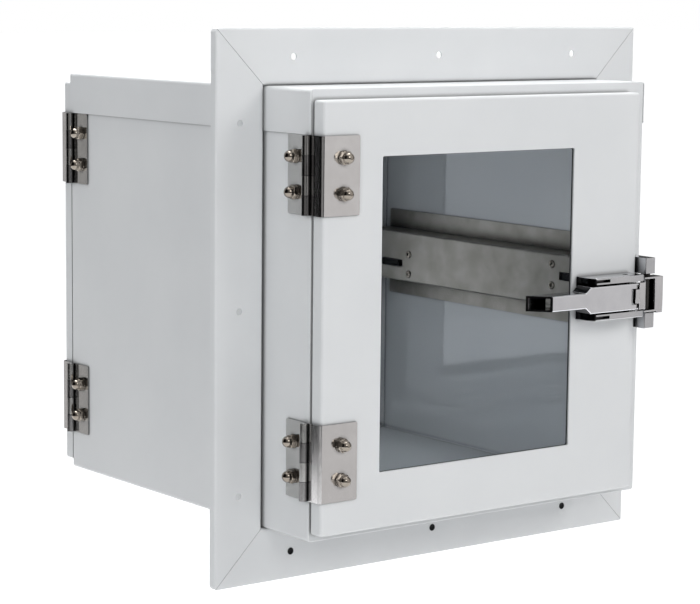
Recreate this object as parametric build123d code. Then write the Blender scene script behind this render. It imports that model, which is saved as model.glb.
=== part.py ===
"""Wall-mounted cleanroom pass box, in millimetres.

+X is to the right, +Y runs into the wall and +Z is up. The origin is the centre of the mounting
flange, on the back face of its sheet. Everything at the front end is modelled once and mirrored
about the middle of the box to make the rear end.
"""
from build123d import *
import math
import os

# ---- box ----
BODY_SIZE = 364.0          # outside width and height over the cap
BODY_DEPTH = 369.0
BODY_REACH = 64.5          # from the flange plane to the front face
SHEET = 1.5                # box and door sheet
BEND_R = 3.0               # outside radius of the long bends
EDGE_R = 0.8               # broken front and rear edges
CAP_LIP = 36.0             # how far the cap laps down over the sides
FACE_MARGIN = 26.0         # face frame between the wall's inside and the mouth
MOUTH_R = 6.0
MOUTH_RETURN = 14.0        # how deep the frame turns in round the opening
WELD_RETURN = 9.0          # how deep the frame turns in along the shell

# ---- wall flange ----
FLANGE_WIDTH = 46.6        # beyond the box
FLANGE_SHEET = 1.5
FLANGE_LIP = 6.0           # lip behind the flange sheet
FLANGE_LEG = 18.0          # leg along the box
FLANGE_BEND_R = 2.0
FLANGE_CORNER_R = 4.0
MITRE_GAP = 0.22
FLANGE_INNER_R = 0.7
HOLE_R = 2.8
HOLE_INSET = 76.2          # end holes from the flange's corner
RIVET_R = 1.6
RIVET_HEAD_R = 3.2
RIVET_HEAD = 1.2
RIVET_INSET = 52.0         # end rivets from the box's corner
RIVET_BACK = 10.0          # rivets behind the flange sheet

# ---- doors ----
DOOR_HINGE_MARGIN = 1.0    # from the shell's side to the door's edge
DOOR_STRIKE_MARGIN = 18.0  # room for the strike
DOOR_TOP_MARGIN = 8.5      # from the cap's top
DOOR_BOTTOM_MARGIN = 6.5
DOOR_THICK = 12.4
DOOR_GAP = 2.5             # gap between the box face and the door
DOOR_BEND_R = 2.5
DOOR_SWING = 115.0
GASKET_INSET = 1.8
GASKET_WIDTH = 6.0
GASKET_CLEAR = 0.3
GASKET_EDGE_R = 0.6

# ---- windows ----
WINDOW_HINGE_MARGIN = 59.0 # from the door's edge to the window
WINDOW_LATCH_MARGIN = 76.0
WINDOW_TOP_MARGIN = 45.5
WINDOW_BOTTOM_MARGIN = 46.5
WINDOW_R = 1.5
PANE_THICK = 4.5
PANE_LAP = 14.0
SEAL_THICK = 2.0
SEAL_INSET = 3.0           # seal's inner edge outside the window's edge
SEAL_WIDTH = 9.5
LINER_INSET = 10.0         # liner's opening outside the window's edge

# ---- hinges ----
HINGE_HEIGHT = 63.5
HINGE_CAP_GAP = 0.25       # from the cap's edge to the upper hinge
LEAF = 1.5
KNUCKLE_R = 3.5
KNUCKLE_COUNT = 4
KNUCKLE_GAP = 0.3
PIN_R = 1.75
RUN_FIT = 0.05             # radial clearance of pins that turn
AXIS_BACK = 2.5            # hinge axis behind the box face
BODY_LEAF = 26.7           # from the hinge axis to the leaf's edge
DOOR_LEAF = 37.5           # leaf width on the door face
LEAF_BEND_R = 3.5
LEAF_CORNER_R = 1.2
PIN_CHAMFER = 0.3
NUT_PITCH = 28.6
BODY_NUT = 16.5            # nuts from the hinge axis
DOOR_NUT = 21.6            # nuts from the leaf's bend
NUT_FLATS = 10.4
NUT_HEX = 4.8
NUT_CHAMFER = 0.8          # turned off the hexagon's corners
NUT_NECK = 0.9             # from the hexagon to the dome
NUT_DOME_R = 4.8
BOLT_R = 2.4
BOLT_HEAD_R = 4.3
BOLT_HEAD = 2.4
BOLT_END = 0.3             # bolt's end short of the hexagon's top
HOLE_CLEAR = 0.15

# ---- latches ----
HOUSING_MARGIN = 9.5       # from the door's edge to the housing
HOUSING_LENGTH = 61.0
HOUSING_PLATE = 2.5
HOUSING_SCREW_INSET = 12.0 # from the housing's left end
HOUSING_SCREW_PITCH = 19.0
CHEEK = 5.4
CHEEK_DEPTH = 21.6
CHEEK_SPACE = 26.0         # between the cheeks
CHEEK_R = 3.0
CHEEK_EDGE_R = 0.8
CHEEK_NOSE_LENGTH = 3.6    # slanted end of the cheeks
CHEEK_NOSE_DEPTH = 7.2
POCKET_LENGTH = 16.0
POCKET_WIDTH = 2.7
POCKET_DEPTH = 4.0
LEVER_WALL = 1.7
LEVER_DEPTH = 17.5
LEVER_PROUD = 1.0          # lever front ahead of the cheeks
LEVER_WIDE = 23.2
LEVER_NARROW = 13.2
LEVER_MARGIN = 20.5        # from the door's edge to the lever's end
LEVER_LENGTH = 97.0
LEVER_WIDE_LENGTH = 53.0   # full-width part
LEVER_RAKE = 15.0          # how far the open tip's walls run on
LEVER_FLOOR = 6.0          # how far the tip's floor runs in behind the web
LEVER_CORNER_R = 1.0
LEVER_BEND_R = 1.3         # from the web into the walls
SHOULDER_RUN = 6.0
NOTCH_DEPTH = 6.0
NOTCH_HEIGHT = 14.0
LEVER_PIVOT_MARGIN = 24.5
LEVER_PIVOT_UP = 12.1      # above the door face
LEVER_PIN_R = 2.5
PIN_RECESS = 2.0
HOOK_PIVOT_MARGIN = 19.0
HOOK_PIVOT_UP = 20.3
HOOK_PIN_R = 1.1
HOOK_KNUCKLE_R = 2.3
HOOK_KNUCKLE = 12.2
HOOK_THICK = 3.0
HOOK_SET_BACK = 0.7        # plate behind the lever's front
HOOK_CRANK_RUN = 6.0       # length of the slope from the plate to the loop
HOOK_SIDE_CLEAR = 1.0      # from the loop to the strike's posts
HOOK_CLEAR = 0.5
HOOK_LIP_CLEAR = 0.4
HOOK_ARM = 5.0
HOOK_EDGE_R = 1.5
HOOK_BREAK = 0.5           # broken edges of the loop's front
HOOK_THINNING = 1.0        # how far the slope's back face lags its front face
HOOK_WINDOW_LEAD = 2.0     # how far the loop's window cuts into the slope
HOOK_LIP = 7.0
HOOK_LIP_DEPTH = 12.5
LEVER_SWING = 60.0
HOOK_RATIO = 1.5

# ---- strikes ----
STRIKE_GAP = 0.8           # from the door edge to the strike
STRIKE_WIDTH = 11.3
STRIKE_HEIGHT = 26.5
STRIKE_POST = 14.0
STRIKE_SPACE = 34.0        # between the posts
STRIKE_PLATE = 3.0
STRIKE_EDGE_R = 0.6
STRIKE_SCREW = 10.0        # screw depth in the posts
ROLLER_R = 4.3
ROLLER_PIN_R = 2.0
ROLLER_PIN_GRIP = 10.0     # pin length in each post
ROLLER_END_CLEAR = 0.5
ROLLER_EDGE_R = 0.5
ROLLER_HEIGHT = 21.4       # roller centre above the box face
ROLLER_OFFSET = 4.5        # roller centre from the strike's door side

# ---- interlock ----
RAIL_DEPTH = 29.0          # from the wall to the rail's face
RAIL_FACE = 48.0
RAIL_FLANGE = 17.8
RAIL_Z = 0.9
RAIL_END_GAP = 2.5         # from the frame's return to the rail
RAIL_BEND_R = 2.2
SLOT_LENGTH = 54.6
SLOT_HEIGHT = 7.6
SLOT_Z = -0.2
SLOT_RISE = 5.6            # front slot above SLOT_Z, rear slot below it
GUIDE_INSET = 64.4         # guide centre from the rail's end
GUIDE_LENGTH = 18.0
GUIDE_HEIGHT = 30.0
GUIDE_DEPTH = 14.0
GUIDE_SCREW_PITCH = 19.2
GUIDE_CLEAR = 0.3
BAR_THICK = 5.0
BAR_HEIGHT = 6.0
BAR_INSET = 20.0           # bar's end from the rail's end
BAR_STEP = 108.0           # where the bar widens, from the rail's end
BAR_CLEAR = 0.5            # from the rail's sheet to the bar
PAD_PROUD = 1.4            # how far the bar's end pads stand out of the slots
BAR_TRAVEL = 5.0
SCREW_R = 2.0
SCREW_HEAD_R = 3.6
SCREW_HEAD = 1.6
SCREW_EDGE_R = 0.9
SCREW_SLOT = 0.9
SCREW_BLIND = 2.0          # guide left ahead of a screw's end
TONGUE_THICK = 3.0
TONGUE_PROUD = 1.8         # how far the tongue stands out of the slot
TONGUE_HEIGHT = 5.6
TONGUE_REACH = 32.0        # past the door's back
TONGUE_FOOT = 16.0
TONGUE_FOOT_THICK = 2.0

# ---- worked out from the above ----
HALF = BODY_SIZE / 2
DIAGONAL = math.sqrt(0.5)
SIDE = HALF - SHEET                        # outside of the side walls, under the cap
WALL = SIDE - SHEET                        # inside of the side walls
MOUTH = 2 * (WALL - FACE_MARGIN)           # clear opening at each end
FLANGE_SIZE = BODY_SIZE + 2 * FLANGE_WIDTH
HOLE_PITCH = FLANGE_SIZE / 2 - HOLE_INSET
RIVET_PITCH = HALF - RIVET_INSET
FRONT = -BODY_REACH
REAR = FRONT + BODY_DEPTH
MIDDLE = (FRONT + REAR) / 2
DOOR_LEFT = -SIDE + DOOR_HINGE_MARGIN
DOOR_RIGHT = SIDE - DOOR_STRIKE_MARGIN
DOOR_TOP = HALF - DOOR_TOP_MARGIN
DOOR_BOTTOM = -HALF + DOOR_BOTTOM_MARGIN
DOOR_BACK = FRONT - DOOR_GAP
DOOR_FACE = DOOR_BACK - DOOR_THICK
WINDOW_LEFT = DOOR_LEFT + WINDOW_HINGE_MARGIN
WINDOW_RIGHT = DOOR_RIGHT - WINDOW_LATCH_MARGIN
WINDOW_TOP = DOOR_TOP - WINDOW_TOP_MARGIN
WINDOW_BOTTOM = DOOR_BOTTOM + WINDOW_BOTTOM_MARGIN
PANE_FRONT = DOOR_FACE + SHEET + SEAL_THICK
PANE_BACK = PANE_FRONT + PANE_THICK
AXIS_X = -SIDE - KNUCKLE_R
AXIS_Y = FRONT + AXIS_BACK
LATCH_Z = (DOOR_TOP + DOOR_BOTTOM) / 2
HOUSING_RIGHT = DOOR_RIGHT - HOUSING_MARGIN
HOUSING_LEFT = HOUSING_RIGHT - HOUSING_LENGTH
LEVER_END = DOOR_RIGHT - LEVER_MARGIN
LEVER_TIP = LEVER_END - LEVER_LENGTH
SHOULDER = LEVER_END - LEVER_WIDE_LENGTH
LEVER_PIVOT_X = DOOR_RIGHT - LEVER_PIVOT_MARGIN
LEVER_PIVOT_Y = DOOR_FACE - LEVER_PIVOT_UP
HOOK_PIVOT_X = DOOR_RIGHT - HOOK_PIVOT_MARGIN
HOOK_PIVOT_Y = DOOR_FACE - HOOK_PIVOT_UP
CHEEK_FRONT = DOOR_FACE - CHEEK_DEPTH
LEVER_FRONT = CHEEK_FRONT - LEVER_PROUD
STRIKE_LEFT = DOOR_RIGHT + STRIKE_GAP
ROLLER_X = STRIKE_LEFT + ROLLER_OFFSET
ROLLER_Y = FRONT - ROLLER_HEIGHT
RAIL_X = WALL - RAIL_DEPTH                 # the rail's face
RAIL_FRONT = FRONT + MOUTH_RETURN + RAIL_END_GAP
RAIL_REAR = 2 * MIDDLE - RAIL_FRONT

parts = {}


# ---- helpers ----
def slab(x0, x1, y0, y1, z0, z1):
    """A block between two corners."""
    return Pos((x0 + x1) / 2, (y0 + y1) / 2, (z0 + z1) / 2) * Box(x1 - x0, y1 - y0, z1 - z0)


def rod(axis, centre, radius, start, end):
    """A round bar along X, Y or Z. centre gives the other two coordinates, in X, Y, Z order."""
    bar = Cylinder(radius, end - start)
    middle = (start + end) / 2
    if axis == "x":
        return Pos(middle, centre[0], centre[1]) * Rot(0, 90, 0) * bar
    if axis == "y":
        return Pos(centre[0], middle, centre[1]) * Rot(90, 0, 0) * bar
    return Pos(centre[0], centre[1], middle) * bar


def prism(axis, outline, start, end):
    """A flat outline carried along X, Y or Z. Its points are in the other two axes."""
    order = {"x": lambda a, b: (start, a, b), "y": lambda a, b: (a, start, b), "z": lambda a, b: (a, b, start)}
    way = {"x": (1, 0, 0), "y": (0, 1, 0), "z": (0, 0, 1)}[axis]
    face = make_face(Polyline(*[order[axis](a, b) for a, b in outline], close=True))
    return extrude(face, amount=end - start, dir=way)


def rounded(solid, axis, radius, keep=lambda edge: True):
    """Rounds the edges that run along an axis."""
    return fillet([edge for edge in solid.edges().filter_by(axis) if keep(edge.center())], radius)


def panel(edges, grow, corner, y0, y1):
    """A flat rounded rectangle that stands across Y. edges are left, right, bottom and top."""
    left, right, bottom, top = edges
    return rounded(slab(left - grow, right + grow, y0, y1, bottom - grow, top + grow), Axis.Y, corner)


def square(size):
    return -size / 2, size / 2, -size / 2, size / 2


def rear_copy(solid):
    """The same piece at the rear end."""
    return mirror(solid, about=Plane(origin=(0, MIDDLE, 0), z_dir=(0, 1, 0)))


def add(name, solid):
    parts[name] = solid


def add_both(name, solid):
    """Adds a piece of the front end and its mirror image at the rear end."""
    add(f"front_{name}", solid)
    add(f"rear_{name}", rear_copy(solid))


# ---- box ----
def rivet_places():
    """Rivet stations along a flange strip."""
    return [-RIVET_PITCH, 0, RIVET_PITCH]


def turned(solid, side):
    """Turns a piece of the top flange strip round to another side: 0 top, 1 right, 2 bottom, 3 left."""
    return Rot(0, 90 * side, 0) * solid


def rivet_bores(side):
    return [turned(rod("z", (x, RIVET_BACK), RIVET_R, HALF - 4 * SHEET, HALF + 4 * SHEET), side)
            for x in rivet_places()]


def hinge_heights():
    upper = HALF - CAP_LIP - HINGE_CAP_GAP - HINGE_HEIGHT / 2
    return [upper, DOOR_TOP + DOOR_BOTTOM - upper]


def nut_heights(middle):
    return [middle - NUT_PITCH / 2, middle + NUT_PITCH / 2]


def body_bolt_bores():
    """Bores for the hinge bolts through the left wall, at both ends."""
    bores = []
    for middle in hinge_heights():
        for z in nut_heights(middle):
            for y in (AXIS_Y + BODY_NUT, 2 * MIDDLE - AXIS_Y - BODY_NUT):
                bores.append(rod("x", (y, z), BOLT_R + HOLE_CLEAR, -SIDE - 1, -WALL + 1))
    return bores


def lower_shell():
    """Both sides and the floor, bent from one sheet."""
    top = HALF - SHEET
    outer = rounded(slab(-SIDE, SIDE, FRONT, REAR, -HALF, top), Axis.Y, BEND_R, lambda c: c.Z < 0)
    outer = fillet([e for e in outer.edges() if e.length > CAP_LIP
                    and abs(abs(e.center().Y - MIDDLE) - BODY_DEPTH / 2) < 0.01 and e.center().Z < top - 1], EDGE_R)
    inner = slab(-WALL, WALL, FRONT - 1, REAR + 1, -HALF + SHEET, top + 1)
    inner = rounded(inner, Axis.Y, BEND_R - SHEET, lambda c: c.Z < 0)
    shell = outer - inner
    for side in (1, 2, 3):
        shell -= rivet_bores(side)
    return shell - body_bolt_bores()


def top_cap():
    """Lid sheet whose edges lap down outside the shell."""
    outer = rounded(slab(-HALF, HALF, FRONT, REAR, HALF - CAP_LIP, HALF), Axis.Y, BEND_R, lambda c: c.Z > HALF - 1)
    outer = fillet([e for e in outer.edges() if e.length > BEND_R * 2
                    and abs(abs(e.center().Y - MIDDLE) - BODY_DEPTH / 2) < 0.01
                    and e.center().Z > HALF - CAP_LIP + 1], EDGE_R)
    cap = outer - slab(-SIDE, SIDE, FRONT - 1, REAR + 1, HALF - CAP_LIP - 1, HALF - SHEET)
    return cap - rivet_bores(0)


def face_frame():
    """Ring inside the front edge of the shell: the face the door closes on."""
    low, high = -HALF + SHEET, HALF - SHEET
    corner = BEND_R - SHEET
    ring = rounded(slab(-WALL, WALL, FRONT, FRONT + WELD_RETURN, low, high), Axis.Y, corner, lambda c: c.Z < 0)
    hollow = slab(-WALL + SHEET, WALL - SHEET, FRONT + SHEET, REAR, low + SHEET, high - SHEET)
    collar = panel(square(MOUTH), SHEET, MOUTH_R + SHEET, FRONT, FRONT + MOUTH_RETURN)
    mouth = panel(square(MOUTH), 0, MOUTH_R, FRONT - 1, FRONT + MOUTH_RETURN + 1)
    frame = ring - hollow + collar - mouth
    return frame - [rod("y", place, SCREW_R + HOLE_CLEAR, FRONT - 1, FRONT + SHEET + 1)
                    for place in strike_screw_places()]


# ---- wall flange ----
def flange_strip():
    """The top strip: sheet, lip at the outside and leg along the box, mitred at both ends."""
    half = FLANGE_SIZE / 2
    t = FLANGE_SHEET
    section = [(FLANGE_LEG, HALF), (-t, HALF), (-t, half), (FLANGE_LIP, half), (FLANGE_LIP, half - t),
               (0, half - t), (0, HALF + t), (FLANGE_LEG, HALF + t)]
    strip = prism("x", section, -half, half)
    strip = rounded(strip, Axis.X, FLANGE_BEND_R, lambda c: c.Y < -t / 2)
    strip = rounded(strip, Axis.X, FLANGE_INNER_R, lambda c: abs(c.Y) < 0.01)
    wedge = prism("y", [(0, MITRE_GAP), (half, half + MITRE_GAP), (half, half + t), (-half, half + t),
                        (-half, half + MITRE_GAP)], -2 * t, FLANGE_LEG + t)
    blank = panel(square(FLANGE_SIZE), 0, FLANGE_CORNER_R, -2 * t, FLANGE_LEG + t)
    strip = strip & wedge & blank
    strip -= [rod("y", (x, hole_line()), HOLE_R, -2 * t, t) for x in (-HOLE_PITCH, 0, HOLE_PITCH)]
    return strip - rivet_bores(0)


def hole_line():
    """Distance of the flange holes from the centre lines."""
    return (HALF + FLANGE_SIZE / 2) / 2


def flange_rivets():
    """Blind rivets through the legs into the box."""
    rivets = []
    for side in range(4):
        for x in rivet_places():
            seat = HALF + FLANGE_SHEET
            shank = rod("z", (x, RIVET_BACK), RIVET_R - RUN_FIT, HALF - 2 * SHEET, seat)
            head = Pos(x, RIVET_BACK, seat) * extrude(Circle(RIVET_HEAD_R), RIVET_HEAD, taper=35)
            rivets.append(turned(shank + head, side))
    return Compound(children=rivets)


# ---- hinges ----
def knuckle_span(middle, index):
    """Bottom and top of a knuckle, counted from the top."""
    pitch = HINGE_HEIGHT / KNUCKLE_COUNT
    top = middle + HINGE_HEIGHT / 2 - index * pitch
    low = top - pitch
    if index > 0:
        top -= KNUCKLE_GAP / 2
    if index < KNUCKLE_COUNT - 1:
        low += KNUCKLE_GAP / 2
    return low, top


def hinge_leaf(plate, middle, own, other):
    """Rolls knuckles onto a plate and clears it round the other leaf's knuckles."""
    for index in range(KNUCKLE_COUNT):
        low, top = knuckle_span(middle, index)
        if index % 2 == other:
            plate -= rod("z", (AXIS_X, AXIS_Y), KNUCKLE_R + KNUCKLE_GAP, low - KNUCKLE_GAP, top + KNUCKLE_GAP)
    for index in range(KNUCKLE_COUNT):
        low, top = knuckle_span(middle, index)
        if index % 2 == own:
            plate += rod("z", (AXIS_X, AXIS_Y), KNUCKLE_R, low, top)
    return plate - rod("z", (AXIS_X, AXIS_Y), PIN_R + RUN_FIT, middle - HINGE_HEIGHT, middle + HINGE_HEIGHT)


def body_leaf(middle):
    """Flat leaf on the side wall."""
    half = HINGE_HEIGHT / 2
    plate = slab(-SIDE - LEAF, -SIDE, AXIS_Y, AXIS_Y + BODY_LEAF, middle - half, middle + half)
    plate = rounded(plate, Axis.X, LEAF_CORNER_R, lambda c: c.Y > AXIS_Y + 1)
    leaf = hinge_leaf(plate, middle, 0, 1)
    bores = [rod("x", (AXIS_Y + BODY_NUT, z), BOLT_R + HOLE_CLEAR, -SIDE - 2 * LEAF, -SIDE + LEAF)
             for z in nut_heights(middle)]
    return leaf - bores


def door_leaf(middle):
    """Leaf that runs forward past the door's edge and wraps onto its face."""
    half = HINGE_HEIGHT / 2
    face = DOOR_FACE - LEAF
    run = prism("z", [(-SIDE, AXIS_Y), (-SIDE - LEAF, AXIS_Y), (-SIDE - LEAF, face),
                      (-SIDE - LEAF + DOOR_LEAF, face), (-SIDE - LEAF + DOOR_LEAF, DOOR_FACE), (-SIDE, DOOR_FACE)],
                middle - half, middle + half)
    run = rounded(run, Axis.Z, LEAF_BEND_R, lambda c: c.X < -SIDE - LEAF / 2 and c.Y < face + 0.1)
    run = rounded(run, Axis.Z, LEAF_BEND_R - LEAF, lambda c: abs(c.X + SIDE) < 0.01 and c.Y < DOOR_FACE + 0.1)
    run = rounded(run, Axis.Y, LEAF_CORNER_R, lambda c: c.X > -SIDE + DOOR_LEAF / 2)
    leaf = hinge_leaf(run, middle, 1, 0)
    bores = [rod("y", (door_nut_x(), z), BOLT_R + HOLE_CLEAR, face - LEAF, DOOR_FACE + LEAF)
             for z in nut_heights(middle)]
    return leaf - bores


def door_nut_x():
    return -SIDE - LEAF + DOOR_NUT


def hinge_pin(middle):
    half = HINGE_HEIGHT / 2
    pin = rod("z", (AXIS_X, AXIS_Y), PIN_R, middle - half, middle + half)
    return chamfer(pin.edges().filter_by(GeomType.CIRCLE), PIN_CHAMFER)


def cap_nut():
    """Domed hexagon nut with its blind bore, seated on Z = 0."""
    height = NUT_HEX + NUT_NECK
    blank = Pos(0, 0, NUT_HEX / 2) * Cylinder(NUT_FLATS / math.sqrt(3), NUT_HEX)
    blank = chamfer(blank.edges().group_by(Axis.Z)[-1], NUT_CHAMFER)
    body = blank & extrude(RegularPolygon(NUT_FLATS / 2, 6, major_radius=False), NUT_HEX)
    body += Pos(0, 0, height / 2) * Cylinder(NUT_DOME_R, height)
    body += Pos(0, 0, height) * Sphere(NUT_DOME_R, arc_size1=0)
    return body - Pos(0, 0, NUT_HEX / 2) * Cylinder(BOLT_R + RUN_FIT, NUT_HEX)


def nut_and_bolt(grip):
    """A cap nut on Z = 0 with its bolt through the sheets below it."""
    reach = NUT_HEX - BOLT_END
    bolt = Pos(0, 0, (reach - grip) / 2) * Cylinder(BOLT_R, reach + grip)
    bolt += Pos(0, 0, -grip - BOLT_HEAD / 2) * Cylinder(BOLT_HEAD_R, BOLT_HEAD)
    return [cap_nut(), bolt]


def body_nuts():
    """Nuts and bolts that hold the body leaves to the side wall."""
    pieces = []
    for middle in hinge_heights():
        for z in nut_heights(middle):
            place = Pos(-SIDE - LEAF, AXIS_Y + BODY_NUT, z) * Rot(0, -90, 0)
            pieces += [place * piece for piece in nut_and_bolt(LEAF + SHEET)]
    return Compound(children=pieces)


def door_nuts():
    """Nuts and bolts that hold the door leaves to the door's face."""
    pieces = []
    for middle in hinge_heights():
        for z in nut_heights(middle):
            place = Pos(door_nut_x(), DOOR_FACE - LEAF, z) * Rot(90, 0, 0)
            pieces += [place * piece for piece in nut_and_bolt(LEAF + SHEET)]
    return Compound(children=pieces)


# ---- doors ----
DOOR_EDGES = (DOOR_LEFT, DOOR_RIGHT, DOOR_BOTTOM, DOOR_TOP)
WINDOW_EDGES = (WINDOW_LEFT, WINDOW_RIGHT, WINDOW_BOTTOM, WINDOW_TOP)


def door_pan():
    """Folded outer pan with the window cut-out."""
    outer = panel(DOOR_EDGES, 0, DOOR_BEND_R, DOOR_FACE, DOOR_BACK)
    outer = fillet(outer.faces().sort_by(Axis.Y)[0].edges(), DOOR_BEND_R)
    inner = panel(DOOR_EDGES, -SHEET, DOOR_BEND_R - SHEET, DOOR_FACE + SHEET, DOOR_BACK + 1)
    pan = outer - inner - panel(WINDOW_EDGES, 0, WINDOW_R, DOOR_FACE - 1, DOOR_FACE + SHEET + 1)
    for middle in hinge_heights():
        pan -= [rod("y", (door_nut_x(), z), BOLT_R + HOLE_CLEAR, DOOR_FACE - 1, DOOR_FACE + SHEET + 1)
                for z in nut_heights(middle)]
    return pan - [rod("y", (x, LATCH_Z), SCREW_R + HOLE_CLEAR, DOOR_FACE - 1, DOOR_FACE + SHEET + 1)
                  for x in latch_screw_places()]


def door_liner():
    """Back sheet whose window edge turns in to clamp the pane."""
    back = panel(DOOR_EDGES, -SHEET, DOOR_BEND_R - SHEET, DOOR_BACK - SHEET, DOOR_BACK)
    collar = panel(WINDOW_EDGES, LINER_INSET + SHEET, WINDOW_R + SHEET, PANE_BACK, DOOR_BACK)
    return back + collar - panel(WINDOW_EDGES, LINER_INSET, WINDOW_R, PANE_BACK - 1, DOOR_BACK + 1)


def window_pane():
    return panel(WINDOW_EDGES, PANE_LAP, WINDOW_R, PANE_FRONT, PANE_BACK)


def window_seal():
    seal = panel(WINDOW_EDGES, SEAL_INSET + SEAL_WIDTH, WINDOW_R, DOOR_FACE + SHEET, PANE_FRONT)
    return seal - panel(WINDOW_EDGES, SEAL_INSET, WINDOW_R, DOOR_FACE, PANE_FRONT + 1)


def door_gasket():
    """Flat seal on the door's back that meets the face frame."""
    ends = (DOOR_BACK, FRONT - GASKET_CLEAR)
    ring = panel(DOOR_EDGES, -GASKET_INSET, DOOR_BEND_R, *ends)
    ring -= panel(DOOR_EDGES, -GASKET_INSET - GASKET_WIDTH, DOOR_BEND_R, *ends)
    return fillet(ring.faces().sort_by(Axis.Y)[-1].edges().filter_by(GeomType.LINE), GASKET_EDGE_R)


# ---- latches ----
def latch_screw_places():
    first = HOUSING_LEFT + HOUSING_SCREW_INSET
    return [first, first + HOUSING_SCREW_PITCH]


def latch_housing():
    """Base plate with two cheeks that carry the lever."""
    half = CHEEK_SPACE / 2 + CHEEK
    plate = slab(HOUSING_LEFT, HOUSING_RIGHT, DOOR_FACE - HOUSING_PLATE, DOOR_FACE, LATCH_Z - half, LATCH_Z + half)
    nose = HOUSING_LEFT + CHEEK_NOSE_LENGTH
    cheek_plan = [(HOUSING_LEFT, DOOR_FACE), (HOUSING_LEFT, CHEEK_FRONT + CHEEK_NOSE_DEPTH), (nose, CHEEK_FRONT),
                  (HOUSING_RIGHT, CHEEK_FRONT), (HOUSING_RIGHT, DOOR_FACE)]
    cheeks = prism("z", cheek_plan, LATCH_Z - half, LATCH_Z + half)
    cheeks = rounded(cheeks, Axis.Z, CHEEK_R, lambda c: c.Y < CHEEK_FRONT + 1)
    cheeks = fillet([edge for edge in cheeks.edges().group_by(Axis.Z)[0] + cheeks.edges().group_by(Axis.Z)[-1]
                     if edge.center().Y < DOOR_FACE - HOUSING_PLATE], CHEEK_EDGE_R)
    cheeks -= slab(HOUSING_LEFT - 1, HOUSING_RIGHT + 1, CHEEK_FRONT - 1, DOOR_FACE + 1,
                   LATCH_Z - CHEEK_SPACE / 2, LATCH_Z + CHEEK_SPACE / 2)
    housing = plate + cheeks
    for way in (-1, 1):
        z = LATCH_Z + way * (CHEEK_SPACE + CHEEK) / 2
        housing -= slab(nose, nose + POCKET_LENGTH, CHEEK_FRONT - 1, CHEEK_FRONT + POCKET_DEPTH,
                        z - POCKET_WIDTH / 2, z + POCKET_WIDTH / 2)
    housing -= rod("z", (LEVER_PIVOT_X, LEVER_PIVOT_Y), LEVER_PIN_R, LATCH_Z - half - 1, LATCH_Z + half + 1)
    housing -= [rod("y", (x, LATCH_Z), SCREW_R + HOLE_CLEAR, DOOR_FACE - HOUSING_PLATE - 1, DOOR_FACE + 1)
                for x in latch_screw_places()]
    return housing


def lever_outline(shrink, right):
    """Front outline of the lever, or of its hollow, in X and Z."""
    wide = LEVER_WIDE / 2 - shrink
    narrow = LEVER_NARROW / 2 - shrink
    corner = SHOULDER - SHOULDER_RUN
    tip = LEVER_TIP - LEVER_RAKE - 1
    upper = [(tip, narrow), (corner, narrow), (SHOULDER, wide), (right, wide)]
    return [(x, LATCH_Z + z) for x, z in upper] + [(x, LATCH_Z - z) for x, z in reversed(upper)]


def latch_lever():
    """Channel lever: web in front, walls towards the door, ears round both pivots."""
    back = LEVER_FRONT + LEVER_DEPTH
    ear = HOOK_PIVOT_X + HOOK_KNUCKLE_R
    body = prism("y", lever_outline(0, ear), LEVER_FRONT, back)
    body = rounded(body, Axis.Y, LEVER_CORNER_R, lambda c: LEVER_TIP < c.X < ear - 1)
    body = fillet([edge for edge in body.faces().sort_by(Axis.Y)[0].edges() if edge.center().X < ear - 1
                   and edge.center().X > LEVER_TIP - LEVER_RAKE - 1], LEVER_BEND_R)
    body -= prism("y", lever_outline(LEVER_WALL, ear + 1), LEVER_FRONT + LEVER_WALL, back + 1)
    reach = back - LEVER_PIVOT_Y
    plan = prism("z", [(LEVER_TIP, LEVER_FRONT), (LEVER_TIP - LEVER_RAKE, back), (LEVER_PIVOT_X, back),
                       (LEVER_PIVOT_X + reach * DIAGONAL, LEVER_PIVOT_Y + reach * DIAGONAL),
                       (LEVER_PIVOT_X + reach, LEVER_PIVOT_Y), (ear, HOOK_PIVOT_Y),
                       (LEVER_END, LEVER_FRONT)], LATCH_Z - LEVER_WIDE, LATCH_Z + LEVER_WIDE)
    plan += rod("z", (HOOK_PIVOT_X, HOOK_PIVOT_Y), HOOK_KNUCKLE_R, LATCH_Z - LEVER_WIDE, LATCH_Z + LEVER_WIDE)
    floor = slab(LEVER_TIP - LEVER_RAKE, LEVER_TIP + LEVER_FLOOR, back - LEVER_WALL, back,
                 LATCH_Z - LEVER_NARROW / 2, LATCH_Z + LEVER_NARROW / 2)
    lever = (body + floor) & plan
    lever -= slab(LEVER_END - NOTCH_DEPTH, ear + 1, LEVER_FRONT - 1, LEVER_FRONT + LEVER_WALL + 1,
                  LATCH_Z - NOTCH_HEIGHT / 2, LATCH_Z + NOTCH_HEIGHT / 2)
    inner = LEVER_WIDE / 2 - LEVER_WALL
    lever -= slab(LEVER_END, ear + 1, LEVER_FRONT - 1, LEVER_FRONT + 2 * LEVER_WALL,
                  LATCH_Z - inner, LATCH_Z + inner)
    ends = (LATCH_Z - LEVER_WIDE, LATCH_Z + LEVER_WIDE)
    lever -= rod("z", (LEVER_PIVOT_X, LEVER_PIVOT_Y), LEVER_PIN_R + RUN_FIT, *ends)
    return lever - rod("z", (HOOK_PIVOT_X, HOOK_PIVOT_Y), HOOK_PIN_R, *ends)


def lever_pins():
    """Two short pins, one through each cheek into the lever's wall."""
    inner = LEVER_WIDE / 2 - LEVER_WALL
    outer = CHEEK_SPACE / 2 + CHEEK - PIN_RECESS
    centre = (LEVER_PIVOT_X, LEVER_PIVOT_Y)
    return Compound(children=[rod("z", centre, LEVER_PIN_R, LATCH_Z + inner, LATCH_Z + outer),
                              rod("z", centre, LEVER_PIN_R, LATCH_Z - outer, LATCH_Z - inner)])


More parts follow.
